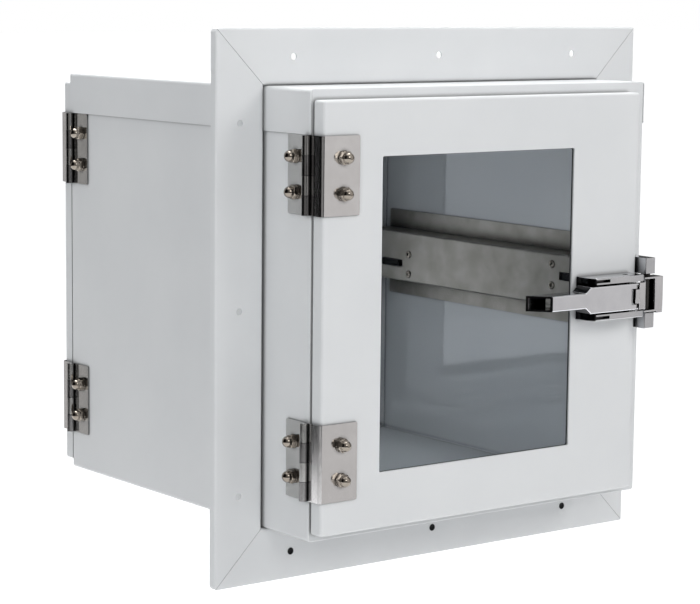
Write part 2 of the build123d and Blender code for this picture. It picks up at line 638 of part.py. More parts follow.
def hook_pin():
    half = LEVER_WIDE / 2
    return rod("z", (HOOK_PIVOT_X, HOOK_PIVOT_Y), HOOK_PIN_R, LATCH_Z - half, LATCH_Z + half)


def latch_hook():
    """Draw hook: front plate, loop round the strike's roller and a lip that turns back outside it."""
    plate_left = HOOK_PIVOT_X + HOOK_KNUCKLE_R + HOOK_CLEAR
    plate_front = LEVER_FRONT + HOOK_SET_BACK
    plate_back = plate_front + HOOK_THICK
    arm_back = ROLLER_Y - ROLLER_R - HOOK_CLEAR
    arm_front = arm_back - HOOK_THICK
    lip_left = ROLLER_X + ROLLER_R + HOOK_LIP_CLEAR
    lip_right = lip_left + HOOK_LIP
    lip_back = arm_front + HOOK_LIP_DEPTH
    bend = HOUSING_RIGHT + HOOK_CLEAR
    plan = prism("z", [(HOOK_PIVOT_X, plate_front), (bend, plate_front), (bend + HOOK_CRANK_RUN, arm_front),
                       (lip_right, arm_front), (lip_right, lip_back), (lip_left, lip_back), (lip_left, arm_back),
                       (bend + HOOK_CRANK_RUN - HOOK_THINNING, arm_back), (bend - HOOK_THINNING, plate_back),
                       (HOOK_PIVOT_X, plate_back)],
                 LATCH_Z - STRIKE_SPACE, LATCH_Z + STRIKE_SPACE)
    plan = rounded(plan, Axis.Z, HOOK_EDGE_R, lambda c: c.X > lip_right - 0.1)
    body = LEVER_WIDE / 2
    neck = HOOK_KNUCKLE / 2
    outer = STRIKE_SPACE / 2 - HOOK_SIDE_CLEAR
    upper = [(HOOK_PIVOT_X - HOOK_KNUCKLE_R, neck), (plate_left, neck), (plate_left, body), (bend, body),
             (bend + HOOK_CRANK_RUN, outer), (lip_right + 1, outer)]
    outline = [(x, LATCH_Z + z) for x, z in upper] + [(x, LATCH_Z - z) for x, z in reversed(upper)]
    hook = plan & prism("y", outline, plate_front - 1, lip_back + 1)
    hook = chamfer([edge for edge in hook.edges().group_by(Axis.Y)[0] + hook.edges().filter_by(Axis.X)
                    if edge.center().X > bend + HOOK_CRANK_RUN + 1 and edge.center().Y < arm_front + 0.1
                    and abs(abs(edge.center().Z - LATCH_Z) - outer) < 0.01], HOOK_BREAK)
    hook += rod("z", (HOOK_PIVOT_X, HOOK_PIVOT_Y), HOOK_KNUCKLE_R, LATCH_Z - neck, LATCH_Z + neck)
    hook -= slab(bend + HOOK_CRANK_RUN - HOOK_WINDOW_LEAD, lip_left, plate_front - 1, lip_back + 1,
                 LATCH_Z - outer + HOOK_ARM, LATCH_Z + outer - HOOK_ARM)
    return hook - rod("z", (HOOK_PIVOT_X, HOOK_PIVOT_Y), HOOK_PIN_R + RUN_FIT, LATCH_Z - outer, LATCH_Z + outer)


def latch_screws():
    """Screws from inside the door into the housing's base."""
    screws = []
    for x in latch_screw_places():
        shank = rod("y", (x, LATCH_Z), SCREW_R, DOOR_FACE - HOUSING_PLATE, DOOR_FACE + SHEET)
        head = rod("y", (x, LATCH_Z), SCREW_HEAD_R, DOOR_FACE + SHEET, DOOR_FACE + SHEET + SCREW_HEAD)
        screws.append(shank + head)
    return Compound(children=screws)


# ---- strikes ----
def strike_screw_places():
    """Screw centres in X and Z, one under each post."""
    pitch = STRIKE_SPACE + STRIKE_POST
    return [(STRIKE_LEFT + STRIKE_WIDTH / 2, LATCH_Z + way * pitch / 2) for way in (-1, 1)]


def strike():
    """Base plate with two square posts that carry the roller pin."""
    half = STRIKE_SPACE / 2 + STRIKE_POST
    right = STRIKE_LEFT + STRIKE_WIDTH
    body = slab(STRIKE_LEFT, right, FRONT - STRIKE_HEIGHT, FRONT, LATCH_Z - half, LATCH_Z + half)
    body -= slab(STRIKE_LEFT - 1, right + 1, FRONT - STRIKE_HEIGHT - 1, FRONT - STRIKE_PLATE,
                 LATCH_Z - STRIKE_SPACE / 2, LATCH_Z + STRIKE_SPACE / 2)
    body = fillet(body.faces().group_by(Axis.Y)[0].edges(), STRIKE_EDGE_R)
    body -= rod("z", (ROLLER_X, ROLLER_Y), ROLLER_PIN_R, LATCH_Z - roller_pin_half(), LATCH_Z + roller_pin_half())
    return body - [rod("y", place, SCREW_R, FRONT - STRIKE_SCREW, FRONT + 1) for place in strike_screw_places()]


def roller_pin_half():
    return STRIKE_SPACE / 2 + ROLLER_PIN_GRIP


def roller_pin():
    half = roller_pin_half()
    return rod("z", (ROLLER_X, ROLLER_Y), ROLLER_PIN_R, LATCH_Z - half, LATCH_Z + half)


def strike_roller():
    half = STRIKE_SPACE / 2 - ROLLER_END_CLEAR
    roller = rod("z", (ROLLER_X, ROLLER_Y), ROLLER_R, LATCH_Z - half, LATCH_Z + half)
    roller = fillet(roller.edges().filter_by(GeomType.CIRCLE), ROLLER_EDGE_R)
    return roller - rod("z", (ROLLER_X, ROLLER_Y), ROLLER_PIN_R + RUN_FIT, LATCH_Z - half - 1, LATCH_Z + half + 1)


def strike_screws():
    """Screws from behind the face frame into the posts."""
    screws = []
    for place in strike_screw_places():
        shank = rod("y", place, SCREW_R, FRONT - STRIKE_SCREW, FRONT + SHEET)
        screws.append(shank + rod("y", place, SCREW_HEAD_R, FRONT + SHEET, FRONT + SHEET + SCREW_HEAD))
    return Compound(children=screws + [rear_copy(screw) for screw in screws])


# ---- interlock ----
def rail_ends():
    """For the front and the rear: the rail's end, the way into the box and the height of the slot."""
    return [(RAIL_FRONT, 1, SLOT_Z + SLOT_RISE), (RAIL_REAR, -1, SLOT_Z - SLOT_RISE)]


def span(a, b):
    return min(a, b), max(a, b)


def interlock_rail():
    """Hat-section rail on the right wall, slotted at both ends."""
    face, base, t = RAIL_FACE / 2, RAIL_FACE / 2 + RAIL_FLANGE, SHEET
    near = [(RAIL_X, face), (WALL - t, face), (WALL - t, base)]
    far = [(WALL, base), (WALL, face - t), (RAIL_X + t, face - t)]
    half = near + far
    section = half + [(x, -z) for x, z in reversed(half)]
    rail = prism("y", [(x, z + RAIL_Z) for x, z in section], RAIL_FRONT, RAIL_REAR)
    rail = rounded(rail, Axis.Y, RAIL_BEND_R, lambda c: c.X < RAIL_X + 0.1)
    rail = rounded(rail, Axis.Y, RAIL_BEND_R - t, lambda c: abs(c.X - RAIL_X - t) < 0.1)
    for end, way, rise in rail_ends():
        y0, y1 = span(end - way, end + way * SLOT_LENGTH)
        rail -= slab(RAIL_X - 1, RAIL_X + t + 1, y0, y1, rise - SLOT_HEIGHT / 2, rise + SLOT_HEIGHT / 2)
    return rail - [rod("x", centre, SCREW_R + HOLE_CLEAR, RAIL_X - 1, RAIL_X + t + 1)
                   for centre in guide_screw_places()]


def guide_screw_places():
    """Screw centres in Y and Z."""
    return [(end + way * GUIDE_INSET, rise + side * GUIDE_SCREW_PITCH / 2)
            for end, way, rise in rail_ends() for side in (-1, 1)]


def interlock_screws():
    """Slotted pan-head screws through the rail's face into the guides."""
    screws = []
    top = RAIL_X - SCREW_HEAD
    for y, z in guide_screw_places():
        head = rod("x", (y, z), SCREW_HEAD_R, top, RAIL_X)
        head = fillet(head.edges().group_by(Axis.X)[0], SCREW_EDGE_R)
        head -= slab(top - 1, top + SCREW_SLOT, y - SCREW_SLOT / 2, y + SCREW_SLOT / 2,
                     z - SCREW_HEAD_R, z + SCREW_HEAD_R)
        screws.append(head + rod("x", (y, z), SCREW_R, RAIL_X, RAIL_X + SHEET + GUIDE_DEPTH - SCREW_BLIND))
    return Compound(children=screws)


def interlock_guides():
    """Plastic blocks, open towards the rail's face, that the lock bar slides in."""
    near = RAIL_X + SHEET
    guides = []
    for end, way, rise in rail_ends():
        middle = end + way * GUIDE_INSET
        block = slab(near, near + GUIDE_DEPTH, middle - GUIDE_LENGTH / 2, middle + GUIDE_LENGTH / 2,
                     rise - GUIDE_HEIGHT / 2, rise + GUIDE_HEIGHT / 2)
        groove = BAR_HEIGHT / 2 + GUIDE_CLEAR
        block -= slab(near - 1, near + BAR_CLEAR + BAR_THICK + GUIDE_CLEAR, middle - GUIDE_LENGTH,
                      middle + GUIDE_LENGTH, rise - groove, rise + groove)
        guides.append(block - [rod("x", (y, z), SCREW_R, near - 1, near + GUIDE_DEPTH - SCREW_BLIND)
                               for y, z in guide_screw_places() if abs(y - middle) < 1])
    return Compound(children=guides)


def lock_bar():
    """Sliding bar whose end pads stand in the slots and block a door's tongue."""
    half = BAR_HEIGHT / 2
    (front, _, high), (rear, _, low) = rail_ends()
    outline = [(front + BAR_INSET, high - half), (front + BAR_STEP, high - half), (front + BAR_STEP, low - half),
               (rear - BAR_INSET, low - half), (rear - BAR_INSET, low + half), (rear - BAR_STEP, low + half),
               (rear - BAR_STEP, high + half), (front + BAR_INSET, high + half)]
    near = RAIL_X + SHEET + BAR_CLEAR
    bar = prism("x", outline, near, near + BAR_THICK)
    for end, way, rise in rail_ends():
        y0, y1 = span(end + way * BAR_INSET, end + way * (SLOT_LENGTH - BAR_TRAVEL - 1))
        bar += slab(RAIL_X - PAD_PROUD, near, y0, y1, rise - half, rise + half)
    return bar


def door_tongue(rise):
    """Blade on the door's back that enters the rail's end slot."""
    left = RAIL_X - TONGUE_PROUD
    half = TONGUE_HEIGHT / 2
    blade = slab(left, left + TONGUE_THICK, DOOR_BACK, DOOR_BACK + TONGUE_REACH, rise - half, rise + half)
    blade = rounded(blade, Axis.X, TONGUE_HEIGHT / 4, lambda c: c.Y > DOOR_BACK + 1)
    foot = slab(left - TONGUE_FOOT, left, DOOR_BACK, DOOR_BACK + TONGUE_FOOT_THICK, rise - half, rise + half)
    return blade + foot


# ---- assembly ----
def build():
    add("lower_shell", lower_shell())
    add("top_cap", top_cap())
    add_both("face_frame", face_frame())
    strip = flange_strip()
    for side, name in enumerate(["flange_top", "flange_right", "flange_bottom", "flange_left"]):
        add(name, turned(strip, side))
    add("flange_rivets", flange_rivets())
    for name, middle in zip(["upper", "lower"], hinge_heights()):
        add_both(f"{name}_hinge_body_leaf", body_leaf(middle))
        add_both(f"{name}_hinge_door_leaf", door_leaf(middle))
        add_both(f"{name}_hinge_pin", hinge_pin(middle))
    add_both("body_cap_nuts", body_nuts())
    add_both("door_cap_nuts", door_nuts())
    add_both("door_pan", door_pan())
    add_both("door_liner", door_liner())
    add_both("window_pane", window_pane())
    add_both("window_seal", window_seal())
    add_both("door_gasket", door_gasket())
    add_both("latch_housing", latch_housing())
    add_both("latch_lever", latch_lever())
    add_both("latch_pivot_pins", lever_pins())
    add_both("latch_hook", latch_hook())
    add_both("latch_hook_pin", hook_pin())
    add_both("latch_screws", latch_screws())
    add_both("strike", strike())
    add_both("strike_roller", strike_roller())
    pin = roller_pin()
    add("strike_roller_pins", Compound(children=[pin, rear_copy(pin)]))
    add("strike_screws", strike_screws())
    add("interlock_rail", interlock_rail())
    add("interlock_screws", interlock_screws())
    add("interlock_guides", interlock_guides())
    add("lock_bar", lock_bar())
    add("front_door_tongue", door_tongue(SLOT_Z + SLOT_RISE))
    add("rear_door_tongue", rear_copy(door_tongue(SLOT_Z - SLOT_RISE)))


build()
os.makedirs("parts", exist_ok=True)
for name, solid in parts.items():
    export_step(solid, f"parts/{name}.step")
print(len(parts), "nodes")
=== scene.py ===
import bpy
import bmesh
import math
import re
from mathutils import Matrix, Vector


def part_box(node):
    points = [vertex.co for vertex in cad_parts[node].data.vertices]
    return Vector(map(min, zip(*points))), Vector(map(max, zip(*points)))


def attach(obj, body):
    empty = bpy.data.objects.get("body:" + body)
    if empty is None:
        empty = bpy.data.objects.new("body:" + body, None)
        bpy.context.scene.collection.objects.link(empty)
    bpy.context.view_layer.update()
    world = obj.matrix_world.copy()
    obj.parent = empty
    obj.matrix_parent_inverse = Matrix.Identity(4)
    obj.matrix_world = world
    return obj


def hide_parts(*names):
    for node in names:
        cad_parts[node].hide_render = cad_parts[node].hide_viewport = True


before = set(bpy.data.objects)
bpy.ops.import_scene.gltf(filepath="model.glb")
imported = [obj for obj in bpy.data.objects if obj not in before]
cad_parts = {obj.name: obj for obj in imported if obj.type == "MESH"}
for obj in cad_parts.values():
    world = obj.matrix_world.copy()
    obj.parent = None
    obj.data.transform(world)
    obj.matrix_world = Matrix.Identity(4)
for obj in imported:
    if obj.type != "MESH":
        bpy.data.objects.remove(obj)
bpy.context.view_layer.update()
print("frame loaded:", len(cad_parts), "nodes")

scene = bpy.context.scene
scene.view_settings.view_transform = "Standard"
mm = 0.001

cameraSet = {
    "place": (-1.2744, -1.5527, 0.2596),
    "heading": 37.30,      # degrees from +Y towards +X
    "tilt": -7.584,
    "roll": 0.603,
    "lens": 120.71,
    "sensor": 36,
    "clip": (0.05, 200),
}


def makeCamera(spec):
    heading, tilt, roll = (math.radians(spec[key]) for key in ("heading", "tilt", "roll"))
    forward = Vector((math.sin(heading), math.cos(heading), 0)) * math.cos(tilt)
    forward.z = math.sin(tilt)
    level = forward.cross(Vector((0, 0, 1))).normalized()
    upright = level.cross(forward)
    right = level * math.cos(roll) + upright * math.sin(roll)
    up = upright * math.cos(roll) - level * math.sin(roll)
    data = bpy.data.cameras.new("studioCamera")
    data.lens = spec["lens"]
    data.sensor_width = spec["sensor"]
    data.clip_start, data.clip_end = spec["clip"]
    camera = bpy.data.objects.new("studioCamera", data)
    turn = Matrix((right, up, -forward)).transposed().to_4x4()
    camera.matrix_world = Matrix.Translation(spec["place"]) @ turn
    scene.collection.objects.link(camera)
    scene.camera = camera


makeCamera(cameraSet)
print("camera placed")

studio = {
    "floorDrop": 1.15,         # the box hangs this far above the floor
    "floorHalf": 60.0,
    "floorColour": (0.86, 0.86, 0.86, 1),
    "nearLift": 0.44,          # floor's own brightness by the box and far away
    "farLift": 0.80,
    "liftStart": 1.4,
    "liftEnd": 3.6,
    "skyColour": (0.94, 0.97, 1.0, 1),
    "skyLevel": 0.33,
    "curtainSteps": 24,
    "curtainColour": (1, 0.98, 0.965, 1),
    # name: from angle, to angle, reach, top, brightness at the foot and at the top;
    # the angles run anticlockwise from +X
    "curtains": {
        "backCurtain": (22, 100, 5.0, 6.0, 0.10, 0.10),
        "quarterCurtain": (100, 122, 5.0, 6.0, 0.62, 0.02),
        "leftCurtain": (122, 200, 5.0, 6.0, 0.008, 0.008),
        "slantCurtain": (200, 250, 5.0, 6.0, 0.26, 0.26),
        "frontCurtain": (250, 270, 5.0, 6.0, 0.015, 0.015),
        "aheadCurtain": (270, 332, 2.6, 2.4, 0.62, 0.95),
        "rightCurtain": (332, 360, 5.0, 6.0, 0.26, 0.26),
    },
    # name: place, aim, size x, size y, watts, colour, shown in polished metal
    "lamps": {
        "keyLamp": ((1.9, -3.0, 2.1), (0, 0, 0), 1.6, 1.4, 39, (1.0, 0.99, 0.98), True),
        "fillLamp": ((-0.9, -3.2, 1.7), (0, 0, 0), 1.6, 1.4, 25, (1.0, 0.995, 0.985), True),
        "slantLamp": ((-2.6, -2.0, 1.3), (0, 0, 0), 1.6, 1.4, 16.5, (0.99, 0.995, 1.0), False),
        "sideLamp": ((-3.2, 0.5, 1.0), (0, 0.1, 0), 1.6, 1.4, 7, (1.0, 1.0, 0.99), False),
        "topLamp": ((0.1, 0.3, 3.0), (0, 0.1, 0), 1.6, 1.4, 40, (1.0, 1.0, 1.0), True),
        "crownLamp": ((0.1, 1.7, 2.7), (0, 0.1, 0), 1.6, 1.4, 56, (1.0, 1.0, 1.0), True),
        "rearLamp": ((1.3, 3.2, 1.5), (0, 0.1, 0), 1.6, 1.2, 30, (0.98, 0.99, 1.0), True),
    },
}


def addNode(tree, kind, **values):
    node = tree.nodes.new(kind)
    for key, value in values.items():
        if hasattr(node, key):
            setattr(node, key, value)
        else:
            node.inputs[key].default_value = value
    return node


def wire(tree, source, target):
    tree.links.new(source, target)


def sums(tree, operation, first, second):
    # one step of arithmetic on a socket and a socket or a number
    step = addNode(tree, "ShaderNodeMath", operation=operation)
    wire(tree, first, step.inputs[0])
    if isinstance(second, (int, float)):
        step.inputs[1].default_value = second
    else:
        wire(tree, second, step.inputs[1])
    return step.outputs[0]


def seenBy(tree, *kinds):
    # 1 for rays of any of these kinds, 0 for the rest
    rays = addNode(tree, "ShaderNodeLightPath")
    seen = rays.outputs[kinds[0]]
    for kind in kinds[1:]:
        seen = sums(tree, "MAXIMUM", seen, rays.outputs[kind])
    return seen


def axisOf(tree, source, axis):
    # one axis of the object coordinates or of the normal
    place = addNode(tree, "ShaderNodeTexCoord")
    parts = addNode(tree, "ShaderNodeSeparateXYZ")
    wire(tree, place.outputs[source], parts.inputs[0])
    return parts.outputs[axis]


def spread(tree, source, low, high, start=0.3, end=0.7):
    ramp = addNode(tree, "ShaderNodeMapRange")
    for key, value in (("From Min", start), ("From Max", end), ("To Min", low), ("To Max", high)):
        ramp.inputs[key].default_value = value
    wire(tree, source, ramp.inputs["Value"])
    return ramp.outputs[0]


# rays that see the white backdrop, while the others are lit by the soft sky
viewRays = ("Is Camera Ray", "Is Transmission Ray", "Is Glossy Ray")


def makeSky(spec):
    world = bpy.data.worlds.new("studioSky")
    scene.world = world
    world.use_nodes = True
    tree = world.node_tree
    tree.nodes.clear()
    out = addNode(tree, "ShaderNodeOutputWorld")
    soft = addNode(tree, "ShaderNodeBackground", Color=spec["skyColour"], Strength=spec["skyLevel"])
    white = addNode(tree, "ShaderNodeBackground", Color=(1, 1, 1, 1), Strength=1.0)
    blend = addNode(tree, "ShaderNodeMixShader")
    wire(tree, seenBy(tree, *viewRays), blend.inputs[0])
    wire(tree, soft.outputs[0], blend.inputs[1])
    wire(tree, white.outputs[0], blend.inputs[2])
    wire(tree, blend.outputs[0], out.inputs["Surface"])


def makeFloor(spec):
    half, low = spec["floorHalf"], -spec["floorDrop"]
    mesh = bpy.data.meshes.new("studioFloor")
    mesh.from_pydata([(-half, -half, low), (half, -half, low), (half, half, low), (-half, half, low)], [],
                     [(0, 1, 2, 3)])
    floor = bpy.data.objects.new("studioFloor", mesh)
    scene.collection.objects.link(floor)
    paint = bpy.data.materials.new("floorPaint")
    paint.use_nodes = True
    tree = paint.node_tree
    tree.nodes.clear()
    out = addNode(tree, "ShaderNodeOutputMaterial")
    matt = addNode(tree, "ShaderNodeBsdfDiffuse", Color=spec["floorColour"])
    lift = addNode(tree, "ShaderNodeEmission", Color=(1, 1, 1, 1))
    place = addNode(tree, "ShaderNodeTexCoord")
    centre = addNode(tree, "ShaderNodeVectorMath", operation="DISTANCE")
    centre.inputs[1].default_value = (0, 0, low)
    wire(tree, place.outputs["Object"], centre.inputs[0])
    rise = addNode(tree, "ShaderNodeMapRange", interpolation_type="SMOOTHSTEP")
    for key, value in (("From Min", spec["liftStart"]), ("From Max", spec["liftEnd"]),
                       ("To Min", spec["nearLift"]), ("To Max", spec["farLift"])):
        rise.inputs[key].default_value = value
    wire(tree, centre.outputs["Value"], rise.inputs["Value"])
    level = sums(tree, "MULTIPLY", rise.outputs[0], seenBy(tree, *viewRays))
    wire(tree, level, lift.inputs["Strength"])
    both = addNode(tree, "ShaderNodeAddShader")
    wire(tree, matt.outputs[0], both.inputs[0])
    wire(tree, lift.outputs[0], both.inputs[1])
    wire(tree, both.outputs[0], out.inputs["Surface"])
    mesh.materials.append(paint)


def makeCurtains(spec):
    # cloths from black to white round the studio, which only reflections show
    for name, (start, end, reach, top, footLevel, topLevel) in spec["curtains"].items():
        count = spec["curtainSteps"]
        points = []
        for step in range(count + 1):
            angle = math.radians(start + (end - start) * step / count)
            x, y = reach * math.cos(angle), reach * math.sin(angle)
            points += [(x, y, -spec["floorDrop"]), (x, y, top)]
        mesh = bpy.data.meshes.new(name)
        mesh.from_pydata(points, [], [(2 * i, 2 * i + 2, 2 * i + 3, 2 * i + 1) for i in range(count)])
        curtain = bpy.data.objects.new(name, mesh)
        scene.collection.objects.link(curtain)
        cloth = bpy.data.materials.new(name)
        cloth.use_nodes = True
        tree = cloth.node_tree
        tree.nodes.clear()
        out = addNode(tree, "ShaderNodeOutputMaterial")
        glow = addNode(tree, "ShaderNodeEmission", Color=spec["curtainColour"])
        level = spread(tree, axisOf(tree, "Object", "Z"), footLevel, topLevel, -spec["floorDrop"], top)
        wire(tree, level, glow.inputs["Strength"])
        wire(tree, glow.outputs[0], out.inputs["Surface"])
        mesh.materials.append(cloth)
        curtain.visible_camera = curtain.visible_diffuse = curtain.visible_shadow = False
        curtain.visible_transmission = curtain.visible_volume_scatter = False


def makeLamps(lamps):
    for name, (place, aim, sizeX, sizeY, watts, colour, shown) in lamps.items():
        data = bpy.data.lights.new(name, "AREA")
        data.shape = "RECTANGLE"
        data.size, data.size_y = sizeX, sizeY
        data.energy = watts
        data.color = colour
        lamp = bpy.data.objects.new(name, data)
        lamp.location = place
        lamp.rotation_euler = (Vector(aim) - Vector(place)).to_track_quat("-Z", "Y").to_euler()
        lamp.visible_glossy = shown
        scene.collection.objects.link(lamp)


makeSky(studio)
makeFloor(studio)
makeCurtains(studio)
makeLamps(studio["lamps"])
print("studio lit")


def newFinish(name):
    finish = bpy.data.materials.new(name)
    finish.use_nodes = True
    tree = finish.node_tree
    tree.nodes.clear()
    out = addNode(tree, "ShaderNodeOutputMaterial")
    shader = addNode(tree, "ShaderNodeBsdfPrincipled")
    wire(tree, shader.outputs[0], out.inputs["Surface"])
    return finish, tree, shader


def grain(tree, size, stretch=(1, 1, 1), detail=3.0):
    # size is the pitch in mm, and stretch lengthens the grain along an axis
    place = addNode(tree, "ShaderNodeTexCoord")
    mapping = addNode(tree, "ShaderNodeMapping")
    mapping.inputs["Scale"].default_value = [1 / part for part in stretch]
    wire(tree, place.outputs["Object"], mapping.inputs["Vector"])
    noise = addNode(tree, "ShaderNodeTexNoise", Scale=1000.0 / size, Detail=detail, Roughness=0.55)
    wire(tree, mapping.outputs[0], noise.inputs["Vector"])
    return noise.outputs["Fac"]


def tint(tree, source, dark, light, start=0.3, end=0.7):
    ramp = addNode(tree, "ShaderNodeValToRGB")
    for stop, place, colour in zip(ramp.color_ramp.elements, (start, end), (dark, light)):
        stop.position, stop.color = place, (*colour, 1)
    wire(tree, source, ramp.inputs[0])
    return ramp.outputs[0]


def shadeInCreases(tree, colour, reach, deep, start=0.35, end=0.85):
    # painted shade: darkens the colour in narrow gaps and inner corners, where ambient occlusion finds them,
    # over reach mm
    near = addNode(tree, "ShaderNodeAmbientOcclusion", samples=8, Distance=reach * mm)
    shade = tint(tree, near.outputs["AO"], (deep, deep, deep), (1, 1, 1), start, end)
    blend = addNode(tree, "ShaderNodeMix", data_type="RGBA", blend_type="MULTIPLY")
    blend.inputs[0].default_value = 1.0
    wire(tree, colour, blend.inputs[6])
    wire(tree, shade, blend.inputs[7])
    return blend.outputs[2]


def relief(tree, shader, *layers):
    # each layer is a grain and its depth in mm
    last = None
    for source, depth in layers:
        bump = addNode(tree, "ShaderNodeBump", Strength=1.0, Distance=depth * mm)
        wire(tree, source, bump.inputs["Height"])
        if last:
            wire(tree, last, bump.inputs["Normal"])
        last = bump.outputs[0]
    wire(tree, last, shader.inputs["Normal"])


powder = {
    "dark": (0.745, 0.757, 0.768), "light": (0.780, 0.790, 0.798),
    "patch": 90.0,             # size of the faint colour patches
    "peel": 2.0, "peelDepth": 0.014,
    "wave": 130.0, "waveDepth": 0.20,
    "shadeReach": 5.0, "shadeDark": 0.42,     # reach and depth of the painted shade in joints and creases
    "shadeFrom": 0.45, "shadeTo": 0.92,
    "gloss": 14.0, "rough": (0.30, 0.42),
    "inner": (179.75, 181.25),     # the smoother inside lies within these halves
    "innerDepth": (-63.0, 303.0),
    "innerGloss": 30.0,
    # innerShade is painted shade for the chamber's dimmer inside
    "innerMetal": 0.10, "innerShade": 0.79, "innerPeel": 0.12,
    "innerRough": (0.05, 0.09),
}


def insideOf(tree, spec):
    # 1 within a box round the middle, 0 outside it
    inside = None
    for axis, half in zip("XZ", spec["inner"]):
        away = sums(tree, "ABSOLUTE", axisOf(tree, "Object", axis), 0.0)
        near = sums(tree, "LESS_THAN", away, half * mm)
        inside = sums(tree, "MULTIPLY", inside, near) if inside else near
    for operation, edge in zip(("GREATER_THAN", "LESS_THAN"), spec["innerDepth"]):
        within = sums(tree, operation, axisOf(tree, "Object", "Y"), edge * mm)
        inside = sums(tree, "MULTIPLY", inside, within)
    return inside


def leftOf(tree, spec):
    # 1 further to the hinge side than an edge, 0 elsewhere
    return sums(tree, "LESS_THAN", axisOf(tree, "Object", "X"), spec["edge"] * mm)


def turnedLeft(tree, spec):
    # 1 on faces that look to the hinge side, 0 elsewhere
    return sums(tree, "LESS_THAN", axisOf(tree, "Normal", "X"), spec["turn"])


def blendOf(tree, share, low, high):
    # low where share is 0 and high where it is 1
    mix = addNode(tree, "ShaderNodeMix", data_type="FLOAT")
    wire(tree, share, mix.inputs[0])
    for slot, value in ((2, low), (3, high)):
        if isinstance(value, (int, float)):
            mix.inputs[slot].default_value = value
        else:
            wire(tree, value, mix.inputs[slot])
    return mix.outputs[0]


def scaled(tree, colour, share):
    # a colour times a number from a socket
    shade = addNode(tree, "ShaderNodeVectorMath", operation="SCALE")
    wire(tree, colour, shade.inputs[0])
    wire(tree, share, shade.inputs["Scale"])
    return shade.outputs[0]


def makePowder(name, spec, lined=False):
    # lined is for sheets whose inner side is the chamber's smoother wall, which is also darkened there with
    # painted shade
    finish, tree, shader = newFinish(name)
    colour = tint(tree, grain(tree, spec["patch"]), spec["dark"], spec["light"])
    # painted shade in the powder's joints and creases
    colour = shadeInCreases(tree, colour, spec["shadeReach"], spec["shadeDark"], spec["shadeFrom"], spec["shadeTo"])
    rough = spread(tree, grain(tree, spec["gloss"]), *spec["rough"])
    wave, peel = grain(tree, spec["wave"], detail=1.0), grain(tree, spec["peel"], detail=2.0)
    if lined:
        inside = insideOf(tree, spec)
        # painted shade: the chamber's inside is darkened by innerShade, while its smoother gloss is its own
        # finish
        colour = scaled(tree, colour, blendOf(tree, inside, 1.0, spec["innerShade"]))
        smooth = spread(tree, grain(tree, spec["innerGloss"]), *spec["innerRough"])
        rough = blendOf(tree, inside, rough, smooth)
        wire(tree, blendOf(tree, inside, 0.0, spec["innerMetal"]), shader.inputs["Metallic"])
        peel = sums(tree, "MULTIPLY", peel, blendOf(tree, inside, 1.0, spec["innerPeel"]))
        wave = sums(tree, "MULTIPLY", wave, blendOf(tree, inside, 1.0, spec["innerPeel"]))
    wire(tree, colour, shader.inputs["Base Color"])
    wire(tree, rough, shader.inputs["Roughness"])
    relief(tree, shader, (wave, spec["waveDepth"]), (peel, spec["peelDepth"]))
    return finish


patches = {"metal": 22.0, "dull": 12.0}        # size of the faint colour patches

# name: dark colour, light colour, roughness from, roughness to, line pitch, line stretch,
# line depth, reach of the painted shade in gaps, its darkness; sizes in mm
metals = {
    "hingeSteel": ((0.635, 0.622, 0.622), (0.70, 0.688, 0.69), 0.09, 0.16,
                   0.6, (1, 1, 16), 0.002, 7.0, 0.06),
    # the body leaf's steel, a darker copy of the hinge steel: painted shade on the leaf that faces the side
    "shadedLeafSteel": ((0.50, 0.495, 0.485), (0.57, 0.565, 0.555), 0.09, 0.16,
                  0.6, (1, 1, 16), 0.002, 7.0, 0.06),
    "nutSteel": ((0.25, 0.218, 0.185), (0.33, 0.295, 0.255), 0.08, 0.15,
                 0.8, (1, 1, 1), 0.003, 6.0, 0.04),
    "railSteel": ((0.27, 0.252, 0.225), (0.37, 0.352, 0.322), 0.30, 0.42,
                  0.7, (1, 6, 1), 0.006, 16.0, 0.02),
    "leverChromeShaded": ((0.64, 0.645, 0.675), (0.71, 0.715, 0.745), 0.09, 0.17,
                         1.8, (3, 1, 1), 0.005, 22.0, 0.01),
    "hookSteel": ((0.58, 0.578, 0.595), (0.65, 0.647, 0.66), 0.12, 0.20,
                  1.2, (1, 1, 6), 0.005, 12.0, 0.02),
    "rollerSteel": ((0.045, 0.044, 0.043), (0.07, 0.068, 0.066), 0.22, 0.34,
                    1.2, (1, 1, 6), 0.005, 8.0, 0.05),
    "satinChrome": ((0.53, 0.535, 0.555), (0.61, 0.615, 0.635), 0.10, 0.18,
                    1.8, (3, 1, 1), 0.005, 14.0, 0.02),
    "plainSteel": ((0.42, 0.41, 0.40), (0.52, 0.51, 0.49), 0.14, 0.26,
                   1.0, (1, 1, 1), 0.005, 5.0, 0.12),
}

# copies of a metal that get painted shade from the marks below
metals["shadedLinkSteel"] = metals["hingeSteel"]
metals["satinChromeShaded"] = metals["satinChrome"]

linkShade = {"edge": -182.2, "dark": 0.45}       # painted shade on the wrapped run of a door's hinge leaf, on the hinge side of the edge
flankShade = {"turn": -0.55, "dark": 0.03}          # painted shade on the latch's faces that look to the hinge side
housingShade = {"inner": (180.0, 12.6), "innerDepth": (-84.0, 324.0), "dark": 0.06}     # painted shade on the floor of its housing

# name: where painted shade makes a metal darker than its own colour
marks = {
    "shadedLinkSteel": ((leftOf, linkShade),),
    "leverChromeShaded": ((turnedLeft, flankShade),),
    "satinChromeShaded": ((turnedLeft, flankShade), (insideOf, housingShade)),
}


